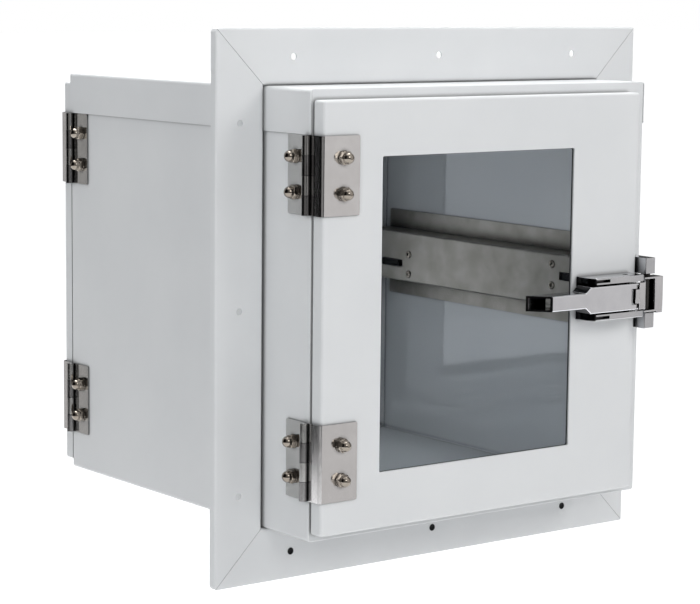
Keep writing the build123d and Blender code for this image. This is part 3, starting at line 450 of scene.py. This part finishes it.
def makeMetal(name, dark, light, roughLow, roughHigh, pitch, stretch, depth, reach, deep):
    finish, tree, shader = newFinish(name)
    shader.inputs["Metallic"].default_value = 1.0
    # painted shade in the metal's gaps and inner corners
    colour = shadeInCreases(tree, tint(tree, grain(tree, patches["metal"]), dark, light), reach, deep)
    # painted shade laid by the marks
    for whereOf, mark in marks.get(name, ()):
        colour = scaled(tree, colour, blendOf(tree, whereOf(tree, mark), 1.0, mark["dark"]))
    wire(tree, colour, shader.inputs["Base Color"])
    lines = grain(tree, pitch, stretch, detail=2.0)
    wire(tree, spread(tree, lines, roughLow, roughHigh), shader.inputs["Roughness"])
    relief(tree, shader, (lines, depth))
    return finish


# name: dark colour, light colour, roughness from, roughness to, grain pitch, grain depth, sheen
dulls = {
    "blackRubber": ((0.016, 0.016, 0.017), (0.03, 0.03, 0.031), 0.55, 0.75, 0.8, 0.03, 0.5),
    "greyRubber": ((0.46, 0.46, 0.455), (0.54, 0.54, 0.535), 0.55, 0.75, 0.8, 0.03, 0.5),
    "blackAcetal": ((0.004, 0.004, 0.005), (0.008, 0.008, 0.009), 0.45, 0.6, 0.6, 0.015, 0.12),
}


def makeDull(name, dark, light, roughLow, roughHigh, pitch, depth, sheen):
    finish, tree, shader = newFinish(name)
    shader.inputs["Specular IOR Level"].default_value = sheen
    fine = grain(tree, pitch)
    wire(tree, tint(tree, grain(tree, patches["dull"]), dark, light), shader.inputs["Base Color"])
    wire(tree, spread(tree, fine, roughLow, roughHigh), shader.inputs["Roughness"])
    relief(tree, shader, (fine, depth))
    return finish


clearSheet = {
    "dark": (0.80, 0.826, 0.852), "light": (0.826, 0.85, 0.872), "patch": 120.0,
    "bend": 1.06,              # a coated sheet that barely mirrors
    "haze": 40.0, "rough": (0.0, 0.02),
    "shadow": (0.80, 0.84, 0.865, 1),
}


def makeClear(name, spec):
    finish, tree, shader = newFinish(name)
    colour = tint(tree, grain(tree, spec["patch"]), spec["dark"], spec["light"])
    wire(tree, colour, shader.inputs["Base Color"])
    shader.inputs["Transmission Weight"].default_value = 1.0
    shader.inputs["IOR"].default_value = spec["bend"]
    wire(tree, spread(tree, grain(tree, spec["haze"]), *spec["rough"]), shader.inputs["Roughness"])
    through = addNode(tree, "ShaderNodeBsdfTransparent", Color=spec["shadow"])
    blend = addNode(tree, "ShaderNodeMixShader")
    wire(tree, seenBy(tree, "Is Shadow Ray"), blend.inputs[0])
    wire(tree, shader.outputs[0], blend.inputs[1])
    wire(tree, through.outputs[0], blend.inputs[2])
    wire(tree, blend.outputs[0], tree.nodes["Material Output"].inputs["Surface"])
    return finish


finishes = {
    "whitePowder": makePowder("whitePowder", powder),
    "whitePowderLined": makePowder("whitePowderLined", powder, True),
    "clearSheet": makeClear("clearSheet", clearSheet),
}
finishes.update({name: makeDull(name, *spec) for name, spec in dulls.items()})
finishes.update({name: makeMetal(name, *spec) for name, spec in metals.items()})

# the first pattern that a node's name holds says its finish
finishRules = (
    (r"^lower_shell$|^top_cap$|face_frame$", "whitePowderLined"),
    (r"door_pan$|door_liner$|^flange_", "whitePowder"),
    (r"cap_nuts", "nutSteel"),
    (r"hinge_door_leaf$", "shadedLinkSteel"),
    (r"hinge_body_leaf$", "shadedLeafSteel"),
    (r"hinge", "hingeSteel"),
    (r"^interlock_rail$|^interlock_screws$", "railSteel"),
    (r"window_pane$", "clearSheet"),
    (r"door_gasket$", "greyRubber"),
    (r"window_seal$", "blackRubber"),
    (r"^interlock_guides$|^lock_bar$|tongue$|pivot_pins$", "blackAcetal"),
    (r"pins|screws|hook_pin$", "plainSteel"),
    (r"latch_lever$", "leverChromeShaded"),
    (r"latch_housing$", "satinChromeShaded"),
    (r"latch_hook$", "hookSteel"),
    (r"strike_roller$", "rollerSteel"),
    (r"strike$", "satinChrome"),
)


def finishOf(node):
    return finishes[next(finish for pattern, finish in finishRules if re.search(pattern, node))]


def dressNodes():
    for name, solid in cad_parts.items():
        finish = finishOf(name)
        for slot in solid.material_slots:
            slot.material = finish
        if not solid.material_slots:
            solid.data.materials.append(finish)


dressNodes()
print("solids dressed")


def lathe(rings, sides, outline=None):
    # turns radius and height pairs in mm round Z into a closed mesh; an outline, for all rings
    # or as a ring's third value, trims it to a polygon
    work = bmesh.new()
    rows = []
    for radius, height, *own in rings:
        trim = own[0] if own else outline
        row = []
        for step in range(sides):
            angle = 2 * math.pi * step / sides
            reach = (min(radius, trim(angle)) if trim else radius) * mm
            row.append(work.verts.new((reach * math.cos(angle), reach * math.sin(angle), height * mm)))
        rows.append(row)
    for low, high in zip(rows, rows[1:]):
        for step in range(sides):
            turn = (step + 1) % sides
            work.faces.new((low[step], low[turn], high[turn], high[step]))
    work.faces.new(list(reversed(rows[0])))
    work.faces.new(rows[-1])
    return work


def hexagon(flats):
    def reach(angle):
        return flats / 2 / math.cos((angle + math.pi / 6) % (math.pi / 3) - math.pi / 6)
    return reach


def domed(outer, inner, foot, top, count, parts):
    # rings up a quarter round from its rim; it's cut in parts, and those past the count are left out
    rings = []
    for step in range(1, count + 1):
        angle = math.pi / 2 * step / parts
        rings.append((inner + (outer - inner) * math.cos(angle), foot + (top - foot) * math.sin(angle)))
    return rings


def joined(name, parts, smoothest):
    # one mesh from several work meshes, sharp above an angle
    mesh = bpy.data.meshes.new(name)
    whole = bmesh.new()
    for part in parts:
        piece = bpy.data.meshes.new("piece")
        part.to_mesh(piece)
        part.free()
        whole.from_mesh(piece)
        bpy.data.meshes.remove(piece)
    bmesh.ops.recalc_face_normals(whole, faces=whole.faces)
    limit = math.radians(smoothest)
    for edge in whole.edges:
        edge.smooth = len(edge.link_faces) == 2 and edge.calc_face_angle(0) < limit
    for face in whole.faces:
        face.smooth = True
    whole.to_mesh(mesh)
    whole.free()
    return mesh


def fastenerTree():
    # sets a fastener on every point of a mesh, along the point's own "aim"
    tree = bpy.data.node_groups.new("fastenersOnPoints", "GeometryNodeTree")
    for name, kind, inOut in (
            ("Points", "Geometry", "INPUT"), ("Fastener", "Object", "INPUT"),
            ("Size", "Float", "INPUT"), ("Loose turn", "Float", "INPUT"), ("Seed", "Int", "INPUT"),
            ("Finish", "Material", "INPUT"), ("Geometry", "Geometry", "OUTPUT")):
        tree.interface.new_socket(name=name, in_out=inOut, socket_type="NodeSocket" + kind)
    start = addNode(tree, "NodeGroupInput")
    end = addNode(tree, "NodeGroupOutput")
    info = addNode(tree, "GeometryNodeObjectInfo")
    wire(tree, start.outputs["Fastener"], info.inputs["Object"])
    aim = addNode(tree, "GeometryNodeInputNamedAttribute", data_type="FLOAT_VECTOR")
    aim.inputs["Name"].default_value = "aim"
    face = addNode(tree, "FunctionNodeAlignRotationToVector", axis="Z")
    wire(tree, aim.outputs["Attribute"], face.inputs["Vector"])
    chance = addNode(tree, "FunctionNodeRandomValue", data_type="FLOAT")
    wire(tree, start.outputs["Loose turn"], chance.inputs[3])
    wire(tree, start.outputs["Seed"], chance.inputs["Seed"])
    spin = addNode(tree, "FunctionNodeAxisAngleToRotation")
    spin.inputs["Axis"].default_value = (0, 0, 1)
    wire(tree, chance.outputs[1], spin.inputs["Angle"])
    turn = addNode(tree, "FunctionNodeRotateRotation", rotation_space="LOCAL")
    wire(tree, face.outputs[0], turn.inputs[0])
    wire(tree, spin.outputs[0], turn.inputs[1])
    place = addNode(tree, "GeometryNodeInstanceOnPoints")
    wire(tree, start.outputs["Points"], place.inputs["Points"])
    wire(tree, info.outputs["Geometry"], place.inputs["Instance"])
    wire(tree, turn.outputs[0], place.inputs["Rotation"])
    wire(tree, start.outputs["Size"], place.inputs["Scale"])
    real = addNode(tree, "GeometryNodeRealizeInstances")
    wire(tree, place.outputs[0], real.inputs[0])
    dress = addNode(tree, "GeometryNodeSetMaterial")
    wire(tree, real.outputs[0], dress.inputs["Geometry"])
    wire(tree, start.outputs["Finish"], dress.inputs["Material"])
    wire(tree, dress.outputs[0], end.inputs["Geometry"])
    return tree


fasteners = fastenerTree()


def setFasteners(name, shape, spots, finish, looseTurn=0.0, seed=1):
    # spots are places in metres and outward directions; gives one plain mesh object at the origin
    source = bpy.data.objects.new(name + "Shape", shape)
    mesh = bpy.data.meshes.new(name + "Spots")
    mesh.from_pydata([place for place, aim in spots], [], [])
    layer = mesh.attributes.new("aim", "FLOAT_VECTOR", "POINT")
    for item, (place, aim) in zip(layer.data, spots):
        item.vector = aim
    carrier = bpy.data.objects.new(name + "Spots", mesh)
    scene.collection.objects.link(source)
    scene.collection.objects.link(carrier)
    step = carrier.modifiers.new("fasteners", "NODES")
    step.node_group = fasteners
    values = {"Fastener": source, "Size": 1.0, "Loose turn": math.radians(looseTurn), "Seed": seed,
              "Finish": finish}
    for item in fasteners.interface.items_tree:
        if item.item_type == "SOCKET" and item.in_out == "INPUT" and item.name in values:
            step[item.identifier] = values[item.name]
    bpy.context.view_layer.update()
    plain = bpy.data.meshes.new_from_object(carrier.evaluated_get(bpy.context.evaluated_depsgraph_get()))
    plain.name = name
    carrier.modifiers.remove(step)
    for spare in (carrier, source):
        bpy.data.objects.remove(spare)
    piece = bpy.data.objects.new(name, plain)
    scene.collection.objects.link(piece)
    return piece


# radius and height of each ring in mm, counted from the face that the fastener sits on;
# a dome gives outer radius, inner radius, foot, top, count and parts
capNut = {
    "flange": ((5.6, 0), (5.75, 0.2), (5.75, 0.6), (5.55, 0.8)), "flangeSides": 48,
    "flats": 10.4, "hexFoot": (0.75, 0.95), "corner": 0.3, "hexTop": 4.8, "hexSides": 72,
    "chamfer": 0.9, "cone": 0.2, "coneSteps": 6,
    "neck": ((4.9, 4.7), (4.75, 5.05), (4.75, 5.7)), "dome": (4.75, 0, 5.7, 10.45, 12, 12.4),
    "domeSides": 48,
    "shank": ((2.3, -3.0), (2.3, 0.1)), "shankSides": 24,
    "bolt": ((1.505, -4.4), (1.505, -5.4), (2.666, -5.4), (3.87, -4.9), (4.3, -4.0), (4.3, -3.0)),
    "boltSides": 36,
    "smoothest": 34,
    "pitch": 28.6,
    "plateIn": 5.5,            # the body leaf's plate, inwards from the door leaf's edge
    "looseTurn": 60, "seed": 4,
}


def capNutShape(spec):
    reach, inner = spec["flats"] / math.sqrt(3), spec["flats"] / 2 - spec["cone"]
    rings = [(reach - spec["corner"], spec["hexFoot"][0]), (reach, spec["hexFoot"][1])]
    for step in range(spec["coneSteps"] + 1):      # the turned corners, where a cone meets the flats
        part = step / spec["coneSteps"]
        rings.append((reach - part * (reach - inner), spec["hexTop"] - spec["chamfer"] * (1 - part)))
    return joined("capNut", [
        lathe(spec["flange"], spec["flangeSides"]),
        lathe(rings, spec["hexSides"], hexagon(spec["flats"])),
        lathe([*spec["neck"], *domed(*spec["dome"])], spec["domeSides"]),
        lathe(spec["shank"], spec["shankSides"]),
        lathe(spec["bolt"], spec["boltSides"]),
    ], spec["smoothest"])


def nutSpots(end, side):
    # the nut stations of one door's hinges, from the solids' own boxes
    low, high = (Vector(corner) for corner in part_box(f"{end}_{side}_cap_nuts"))
    spots = []
    for level in ("upper", "lower"):
        bottom, top = (Vector(corner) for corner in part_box(f"{end}_{level}_hinge_{side}_leaf"))
        for way in (-0.5, 0.5):
            z = (bottom.z + top.z) / 2 + way * capNut["pitch"] * mm
            if side == "body":
                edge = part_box(f"{end}_{level}_hinge_door_leaf")[0][0]
                spots.append(((edge + capNut["plateIn"] * mm, (low.y + high.y) / 2, z), (-1, 0, 0)))
            else:
                y, aim = (bottom.y, -1) if end == "front" else (top.y, 1)
                spots.append((((low.x + high.x) / 2, y, z), (0, aim, 0)))
    return spots


def makeNuts():
    shape = capNutShape(capNut)
    bodies = {("front", "body"): "case", ("rear", "body"): "case",
              ("front", "door"): "front_door", ("rear", "door"): "rear_door"}
    for seed, ((end, side), body) in enumerate(bodies.items(), capNut["seed"]):
        piece = setFasteners(f"{end}{side.title()}Nuts", shape, nutSpots(end, side), finishes["nutSteel"],
                             capNut["looseTurn"], seed)
        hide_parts(f"{end}_{side}_cap_nuts")
        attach(piece, body)


makeNuts()
print("nuts set")

washer = {
    "rings": ((1.8, -0.23), (3.48, -0.23), (3.56, -0.15), (3.56, 0.15), (3.48, 0.23), (1.8, 0.23)),
    "sides": 40, "smoothest": 38, "count": 3,
}


def makeWashers(spec):
    # black washers between the hinges' knuckles
    shape = joined("washer", [lathe(spec["rings"], spec["sides"])], spec["smoothest"])
    spots = []
    for end in ("front", "rear"):
        for level in ("upper", "lower"):
            low, high = (Vector(corner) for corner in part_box(f"{end}_{level}_hinge_pin"))
            for step in range(spec["count"]):
                z = low.z + (high.z - low.z) * (step + 1) / (spec["count"] + 1)
                spots.append((((low.x + high.x) / 2, (low.y + high.y) / 2, z), (0, 0, 1)))
    piece = setFasteners("knuckleWashers", shape, spots, finishes["blackAcetal"])
    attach(piece, "case")


makeWashers(washer)


def islandsOf(node):
    # the box of each separate solid in a node
    work = bmesh.new()
    work.from_mesh(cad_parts[node].data)
    bmesh.ops.remove_doubles(work, verts=work.verts, dist=1e-6)
    left, boxes = set(work.verts), []
    while left:
        group, edge = set(), [left.pop()]
        while edge:
            vert = edge.pop()
            group.add(vert)
            for link in vert.link_edges:
                other = link.other_vert(vert)
                if other in left:
                    left.remove(other)
                    edge.append(other)
        places = [vert.co for vert in group]
        boxes.append(tuple(Vector([pick(place[axis] for place in places) for axis in range(3)])
                           for pick in (min, max)))
    work.free()
    return sorted(boxes, key=lambda box: tuple(box[0]))


rivet = {
    "rings": ((1.55, -4.0), (1.55, 0), (3.1, 0), (3.2, 0.12)),
    "dome": (3.2, 0.99, 0.12, 1.2, 7, 8),
    "dimple": ((0.9, 1.2), (0.765, 0.65)),
    "height": 1.2, "sides": 36, "smoothest": 50,
}


def makeRivets(spec):
    # blind rivets round the box, with the dimple that the pulled stem leaves
    rings = [*spec["rings"], *domed(*spec["dome"]), *spec["dimple"]]
    shape = joined("rivet", [lathe(rings, spec["sides"])], spec["smoothest"])
    spots = []
    for low, high in islandsOf("flange_rivets"):
        middle = (low + high) / 2
        axis = 0 if abs(middle.x) > abs(middle.z) else 2
        way = 1 if middle[axis] > 0 else -1
        aim = [0, 0, 0]
        aim[axis] = way
        place = list(middle)
        place[axis] = (high[axis] if way > 0 else low[axis]) - way * spec["height"] * mm
        spots.append((tuple(place), tuple(aim)))
    piece = setFasteners("flangeRivets", shape, spots, finishes["plainSteel"])
    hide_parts("flange_rivets")
    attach(piece, "case")


makeRivets(rivet)

socketScrew = {
    "rings": ((1.9, -3.0), (1.9, 0), (3.48, 0), (3.6, 0.12), (3.6, 0.4)),
    "dome": (3.6, 1.8, 0.4, 1.6, 6, 7),
    "top": (1.8, 1.6), "socket": ((3.6, 1.6), (3.6, 0.5)), "socketFlats": 2.5,
    "height": 1.6, "sides": 48, "smoothest": 40,
    "looseTurn": 60, "seed": 9,
}


def makeRailScrews(spec):
    # button heads with a hexagon socket on the rail's face
    trim = hexagon(spec["socketFlats"])
    rings = [*spec["rings"], *domed(*spec["dome"]), spec["top"], *((*ring, trim) for ring in spec["socket"])]
    shape = joined("socketScrew", [lathe(rings, spec["sides"])], spec["smoothest"])
    spots = []
    for low, high in islandsOf("interlock_screws"):
        middle = (low + high) / 2
        spots.append(((low.x + spec["height"] * mm, middle.y, middle.z), (-1, 0, 0)))
    piece = setFasteners("railScrews", shape, spots, finishes["nutSteel"], spec["looseTurn"], spec["seed"])
    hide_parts("interlock_screws")
    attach(piece, "case")


makeRailScrews(socketScrew)

shadePlug = {
    "rings": ((2.08, -3.0), (2.6, -2.1), (2.6, 0), (3.0, 0), (3.0, 0.14), (2.8, 0.35),
              (2.16, 0.35), (1.8, 0.1)),
    "sides": 36, "smoothest": 40, "pitch": 152.4,
}


def makeShadePlugs(spec):
    # painted shade: black push-in plugs that darken the holes under the box, where shade is seen through
    # them
    shape = joined("shadePlug", [lathe(spec["rings"], spec["sides"])], spec["smoothest"])
    low, high = (Vector(corner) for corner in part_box("flange_bottom"))
    z = (low.z + high.z) / 2
    spots = [((way * spec["pitch"] * mm, low.y, z), (0, -1, 0)) for way in (-1, 0, 1)]
    piece = setFasteners("holePlugs", shape, spots, finishes["blackAcetal"])
    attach(piece, "case")


makeShadePlugs(shadePlug)
print("small parts set")

bead = {
    "inset": 12.5, "lip": 0.4, "corner": 2.0, "cornerSteps": 6, "bulb": 1.0, "bulbSteps": 8,
    "smoothest": 50,
}


def ringLoop(work, low, high, inset, y, corner, steps):
    # one loop of points round a window, its corners rounded
    points = []
    for turn, (x, z) in enumerate(((high.x - inset, high.z - inset), (low.x + inset, high.z - inset),
                                   (low.x + inset, low.z + inset), (high.x - inset, low.z + inset))):
        wayX, wayZ = ((1, 1), (-1, 1), (-1, -1), (1, -1))[turn]
        for step in range(steps + 1):
            angle = math.pi / 2 * (turn + step / steps)
            points.append(work.verts.new((x - wayX * corner + corner * math.cos(angle), y,
                                          z - wayZ * corner + corner * math.sin(angle))))
    return points


def makeBeads(spec):
    # the rubber bead that shows as a thin dark line round each window
    for end in ("front", "rear"):
        low, high = (Vector(corner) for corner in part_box(f"{end}_window_seal"))
        reach, bulb = (spec["inset"] + spec["lip"]) * mm, spec["bulb"] * mm
        profile = [(0, low.y), (reach - bulb, low.y)]
        for step in range(1, spec["bulbSteps"]):
            angle = math.pi * step / spec["bulbSteps"]
            profile.append((reach - bulb + bulb * math.sin(angle),
                            (low.y + high.y) / 2 - (high.y - low.y) / 2 * math.cos(angle)))
        profile += [(reach - bulb, high.y), (0, high.y)]
        work = bmesh.new()
        loops = [ringLoop(work, low, high, inset, y, spec["corner"] * mm, spec["cornerSteps"])
                 for inset, y in profile]
        for one, other in zip(loops, loops[1:] + loops[:1]):
            for step in range(len(one)):
                turn = (step + 1) % len(one)
                work.faces.new((one[step], one[turn], other[turn], other[step]))
        shape = joined(end + "GlazingBead", [work], spec["smoothest"])
        piece = bpy.data.objects.new(end + "GlazingBead", shape)
        scene.collection.objects.link(piece)
        piece.data.materials.append(finishes["blackRubber"])
        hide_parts(f"{end}_window_seal")
        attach(piece, end + "_door")


makeBeads(bead)
print("glazing beads laid")

# in mm from the pin's axis: along the hook towards its lip, from the door's face inwards,
# and up and down from the middle
hook = {
    "eye": 2.3, "eyeHalf": 6.1, "neck": 0.5,
    "plateFront": -1.6, "thick": 3.0, "bend": 10.0, "crank": 6.0, "thinning": 1.0,
    "armFront": 6.0, "lipStart": 29.0, "lipWide": 9.6, "lipBack": 18.5,
    "plateHalf": 11.6, "loopTop": 14.6, "loopFoot": 16.0, "lipTop": 14.6, "lipFoot": 17.6, "lipStep": 2.7,
    "armWide": 1.5, "windowLead": 2.0, "round": 0.5,
    "past": 30.0,              # how far the cutting prisms run past the bar
}
hookBush = {"bore": 1.2, "reach": 2.05, "half": 6.4, "sides": 40}
hookSmoothest = 32


def prismOf(name, points, axis, low, high):
    # a closed prism along Y or Z from its outline
    def place(pair, height):
        return (pair[0], pair[1], height) if axis == "Z" else (pair[0], height, pair[1])
    work = bmesh.new()
    rows = [[work.verts.new(place(pair, height)) for pair in points] for height in (low, high)]
    for step in range(len(points)):
        turn = (step + 1) % len(points)
        work.faces.new((rows[0][step], rows[0][turn], rows[1][turn], rows[1][step]))
    work.faces.new(rows[0])
    work.faces.new(rows[1])
    bmesh.ops.recalc_face_normals(work, faces=work.faces)
    mesh = bpy.data.meshes.new(name)
    work.to_mesh(mesh)
    work.free()
    solid = bpy.data.objects.new(name, mesh)
    scene.collection.objects.link(solid)
    return solid


def carved(base, *tools, radius, segments=3, limit=35):
    # cuts and joins the tools into the base, rounds its edges and gives a work mesh
    for operation, tool in tools:
        cut = base.modifiers.new(operation, "BOOLEAN")
        cut.operation, cut.object, cut.solver = operation, tool, "EXACT"
    soft = base.modifiers.new("soft", "BEVEL")
    soft.width, soft.segments, soft.angle_limit = radius, segments, math.radians(limit)
    bpy.context.view_layer.update()
    shape = bpy.data.meshes.new_from_object(base.evaluated_get(bpy.context.evaluated_depsgraph_get()))
    work = bmesh.new()
    work.from_mesh(shape)
    bpy.data.meshes.remove(shape)
    for spare in (base, *(tool for operation, tool in tools)):
        bpy.data.objects.remove(spare)
    return work


def makeHooks(spec, bush):
    # plate, crank, loop and lip of the draw hook, bent from one bar
    size = {key: value * mm for key, value in spec.items()}
    for end, way in (("front", 1), ("rear", -1)):
        low, high = (Vector(corner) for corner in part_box(f"{end}_latch_hook"))
        x0, z0 = low.x + size["eye"], (low.z + high.z) / 2
        y0 = low.y + size["eye"] if way > 0 else high.y - size["eye"]

        def planned(pairs):
            return [(x0 + u, y0 + way * v) for u, v in pairs]

        def fronted(upper, lower):
            return [(x0 + u, z0 + w) for u, w in upper] + [(x0 + u, z0 - w) for u, w in reversed(lower)]

        bend, crank, thick = size["bend"], size["bend"] + size["crank"], size["thick"]
        lipEnd = size["lipStart"] + size["lipWide"]
        armBack = size["armFront"] + thick
        neck = size["eye"] + size["neck"]
        plate, arm = size["plateFront"], size["armFront"]
        plan = planned([
            (-size["eye"], -size["eye"]), (neck, -size["eye"]), (neck, plate), (bend, plate), (crank, arm),
            (lipEnd, arm), (lipEnd, size["lipBack"]), (size["lipStart"], size["lipBack"]),
            (size["lipStart"], armBack), (crank - size["thinning"], armBack),
            (bend - size["thinning"], plate + thick), (-size["eye"], plate + thick)])
        past = size["past"]
        bar = prismOf("hookBar", plan, "Z", z0 - past, z0 + past)
        tail = [(-past, size["eyeHalf"]), (neck, size["eyeHalf"]), (neck, size["plateHalf"]),
                (bend, size["plateHalf"])]
        step = size["lipStart"] + size["lipStep"]
        sides = []
        for loop, lip in (("loopTop", "lipTop"), ("loopFoot", "lipFoot")):
            corners = [*tail, (crank, size[loop]), (step, size[loop]), (step, size[lip]),
                       (lipEnd + past, size[lip])]
            sides.append(list(dict.fromkeys(corners)))     # a lip level with its loop has no step
        blank = prismOf("hookBlank", fronted(*sides), "Y", y0 - past, y0 + past)
        panes = [[(u, size[loop] - size["armWide"]) for u in (crank - size["windowLead"], size["lipStart"])]
                 for loop in ("loopTop", "loopFoot")]
        window = prismOf("hookWindow", fronted(*panes), "Y", y0 - past, y0 + past)
        body = carved(bar, ("INTERSECT", blank), ("DIFFERENCE", window), radius=size["round"])
        eye = lathe([(bush["bore"], -bush["half"]), (bush["reach"], -bush["half"]),
                     (bush["reach"], bush["half"]), (bush["bore"], bush["half"])], bush["sides"])
        bmesh.ops.translate(eye, verts=eye.verts, vec=(x0, y0, z0))
        for name, part, finish, slot in (("Hook", body, "hookSteel", "chrome"),
                                         ("HookBush", eye, "blackAcetal", "black_plastic")):
            piece = bpy.data.objects.new(end + name, joined(end + name, [part], hookSmoothest))
            scene.collection.objects.link(piece)
            piece.data.materials.append(finishes[finish])
            if name == "Hook":
                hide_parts(f"{end}_latch_hook")
            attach(piece, end + "_hook")


makeHooks(hook, hookBush)
print("hooks made")
